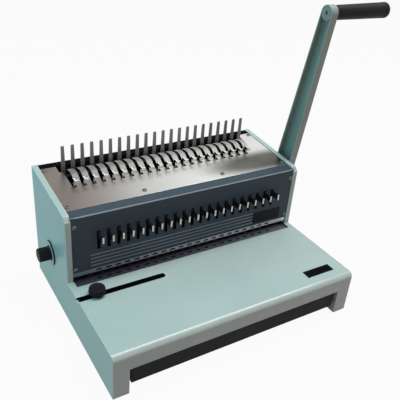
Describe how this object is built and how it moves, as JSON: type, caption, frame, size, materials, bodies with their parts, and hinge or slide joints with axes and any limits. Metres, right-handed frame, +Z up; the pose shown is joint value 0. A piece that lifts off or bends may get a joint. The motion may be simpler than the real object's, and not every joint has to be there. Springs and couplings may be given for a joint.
{
  "type": "comb binding machine",
  "caption": "Desk comb binder: a side lever drives a row of punch pins and comb hooks in a sloping-topped tower over a table with an edge stop and a chip tray.",
  "frame": {"origin": "middle of the footprint of the whole machine, lever and knob included, on the floor", "axes": "+X to the right along the row of pins, +Y from the table to the rear of the tower, +Z up"},
  "size_m": [0.513, 0.289, 0.416],
  "materials": {
    "painted": "satin pale green paint",
    "slate": "fine slate-blue texture paint",
    "brushed_plate": "brushed along the width",
    "black_sheet": "black paint",
    "black_plastic": "matt black",
    "rubber": "matt black",
    "zinc": "zinc plated",
    "bright": "bright steel",
    "dark_steel": "dark steel",
    "bronze": "sintered bronze"
  },
  "bodies": {
    "frame": {"base_housing": "painted", "tower_deck": "black_sheet", "rubber_feet": "rubber", "tray_runners": "zinc", "edge_rail": "black_sheet", "left_cheek": "painted", "right_cheek": "painted", "front_panel": "slate", "top_plate": "brushed_plate", "cover_screws": "bright", "rear_cover": "slate", "tine_bar": "black_sheet", "tines": "dark_steel", "die_plate": "dark_steel", "guide_spacers": "black_sheet", "punch_guide": "bright", "guide_rods": "bright", "shaft_bushes": "bronze", "carriage_rails": "zinc", "return_spring": "dark_steel"},
    "tray": {"chip_tray": "black_sheet", "tray_sides": "black_sheet", "tray_ends": "black_sheet"},
    "edge_stop_body": {"edge_stop": "black_plastic"},
    "edge_knob_body": {"edge_knob": "black_plastic"},
    "lever": {"lever_shaft": "zinc", "lever_arm": "painted", "lever_bolt": "zinc", "grip": "black_plastic", "grip_bolt": "dark_steel", "punch_pinions": "zinc", "hook_pinions": "zinc"},
    "punch": {"punch_bar": "black_sheet", "punch_pins": "dark_steel"},
    "hook_set": {"hook_carriage": "black_sheet", "hooks": "bright"},
    "margin": {"margin_knob": "black_plastic", "margin_spindle": "zinc"},
    "gauge": {"back_gauge": "zinc"},
    "pull_tab_01_body": {"pull_tab_01": "bright"},
    "pull_tab_02_body": {"pull_tab_02": "bright"},
    "pull_tab_03_body": {"pull_tab_03": "bright"},
    "pull_tab_04_body": {"pull_tab_04": "bright"},
    "pull_tab_05_body": {"pull_tab_05": "bright"},
    "pull_tab_06_body": {"pull_tab_06": "bright"},
    "pull_tab_07_body": {"pull_tab_07": "bright"},
    "pull_tab_08_body": {"pull_tab_08": "bright"},
    "pull_tab_09_body": {"pull_tab_09": "bright"},
    "pull_tab_10_body": {"pull_tab_10": "bright"},
    "pull_tab_11_body": {"pull_tab_11": "bright"},
    "pull_tab_12_body": {"pull_tab_12": "bright"},
    "pull_tab_13_body": {"pull_tab_13": "bright"},
    "pull_tab_14_body": {"pull_tab_14": "bright"},
    "pull_tab_15_body": {"pull_tab_15": "bright"},
    "pull_tab_16_body": {"pull_tab_16": "bright"},
    "pull_tab_17_body": {"pull_tab_17": "bright"},
    "pull_tab_18_body": {"pull_tab_18": "bright"},
    "pull_tab_19_body": {"pull_tab_19": "bright"},
    "pull_tab_20_body": {"pull_tab_20": "bright"},
    "pull_tab_21_body": {"pull_tab_21": "bright"}
  },
  "joints": [
    {"name": "lever_hinge", "type": "hinge", "parent": "frame", "child": "lever", "pos_m": [-0.0495, 0.0565, 0.1185], "axis": [1, 0, 0], "range_deg": [0, 70], "stiffness_Nm_per_rad": 2, "springref_deg": -30},
    {"name": "punch_slide", "type": "slide", "parent": "frame", "child": "punch", "axis": [0, 0, -1], "range_m": [0, 0.0153]},
    {"name": "hook_slide", "type": "slide", "parent": "frame", "child": "hook_set", "axis": [0, 0.9967, 0.0812], "range_m": [0, 0.0275]},
    {"name": "tray_slide", "type": "slide", "parent": "frame", "child": "tray", "axis": [0, -1, 0], "range_m": [0, 0.15]},
    {"name": "edge_slide", "type": "slide", "parent": "frame", "child": "edge_stop_body", "axis": [1, 0, 0], "range_m": [-0.015, 0.085]},
    {"name": "edge_knob_turn", "type": "hinge", "parent": "edge_stop_body", "child": "edge_knob_body", "pos_m": [-0.2105, -0.0308, 0.0785], "axis": [0, 0, 1], "range_deg": [0, 180]},
    {"name": "margin_turn", "type": "hinge", "parent": "frame", "child": "margin", "pos_m": [-0.2375, 0.0745, 0.0775], "axis": [1, 0, 0], "range_deg": [0, 180.5]},
    {"name": "gauge_slide", "type": "slide", "parent": "frame", "child": "gauge", "axis": [0, -1, 0], "range_m": [0, 0.004]},
    {"name": "pull_tab_01_slide", "type": "slide", "parent": "punch", "child": "pull_tab_01_body", "axis": [0, -1, 0], "range_m": [0, 0.007]},
    {"name": "pull_tab_02_slide", "type": "slide", "parent": "punch", "child": "pull_tab_02_body", "axis": [0, -1, 0], "range_m": [0, 0.007]},
    {"name": "pull_tab_03_slide", "type": "slide", "parent": "punch", "child": "pull_tab_03_body", "axis": [0, -1, 0], "range_m": [0, 0.007]},
    {"name": "pull_tab_04_slide", "type": "slide", "parent": "punch", "child": "pull_tab_04_body", "axis": [0, -1, 0], "range_m": [0, 0.007]},
    {"name": "pull_tab_05_slide", "type": "slide", "parent": "punch", "child": "pull_tab_05_body", "axis": [0, -1, 0], "range_m": [0, 0.007]},
    {"name": "pull_tab_06_slide", "type": "slide", "parent": "punch", "child": "pull_tab_06_body", "axis": [0, -1, 0], "range_m": [0, 0.007]},
    {"name": "pull_tab_07_slide", "type": "slide", "parent": "punch", "child": "pull_tab_07_body", "axis": [0, -1, 0], "range_m": [0, 0.007]},
    {"name": "pull_tab_08_slide", "type": "slide", "parent": "punch", "child": "pull_tab_08_body", "axis": [0, -1, 0], "range_m": [0, 0.007]},
    {"name": "pull_tab_09_slide", "type": "slide", "parent": "punch", "child": "pull_tab_09_body", "axis": [0, -1, 0], "range_m": [0, 0.007]},
    {"name": "pull_tab_10_slide", "type": "slide", "parent": "punch", "child": "pull_tab_10_body", "axis": [0, -1, 0], "range_m": [0, 0.007]},
    {"name": "pull_tab_11_slide", "type": "slide", "parent": "punch", "child": "pull_tab_11_body", "axis": [0, -1, 0], "range_m": [0, 0.007]},
    {"name": "pull_tab_12_slide", "type": "slide", "parent": "punch", "child": "pull_tab_12_body", "axis": [0, -1, 0], "range_m": [0, 0.007]},
    {"name": "pull_tab_13_slide", "type": "slide", "parent": "punch", "child": "pull_tab_13_body", "axis": [0, -1, 0], "range_m": [0, 0.007]},
    {"name": "pull_tab_14_slide", "type": "slide", "parent": "punch", "child": "pull_tab_14_body", "axis": [0, -1, 0], "range_m": [0, 0.007]},
    {"name": "pull_tab_15_slide", "type": "slide", "parent": "punch", "child": "pull_tab_15_body", "axis": [0, -1, 0], "range_m": [0, 0.007]},
    {"name": "pull_tab_16_slide", "type": "slide", "parent": "punch", "child": "pull_tab_16_body", "axis": [0, -1, 0], "range_m": [0, 0.007]},
    {"name": "pull_tab_17_slide", "type": "slide", "parent": "punch", "child": "pull_tab_17_body", "axis": [0, -1, 0], "range_m": [0, 0.007]},
    {"name": "pull_tab_18_slide", "type": "slide", "parent": "punch", "child": "pull_tab_18_body", "axis": [0, -1, 0], "range_m": [0, 0.007]},
    {"name": "pull_tab_19_slide", "type": "slide", "parent": "punch", "child": "pull_tab_19_body", "axis": [0, -1, 0], "range_m": [0, 0.007]},
    {"name": "pull_tab_20_slide", "type": "slide", "parent": "punch", "child": "pull_tab_20_body", "axis": [0, -1, 0], "range_m": [0, 0.007]},
    {"name": "pull_tab_21_slide", "type": "slide", "parent": "punch", "child": "pull_tab_21_body", "axis": [0, -1, 0], "range_m": [0, 0.007]}
  ],
  "couplings": [
    {"joint": "punch_slide", "follows": "lever_hinge", "m_per_rad": 0.0125},
    {"joint": "hook_slide", "follows": "lever_hinge", "m_per_rad": 0.0225},
    {"joint": "margin_turn", "follows": "gauge_slide", "rad_per_m": 785.4}
  ]
}
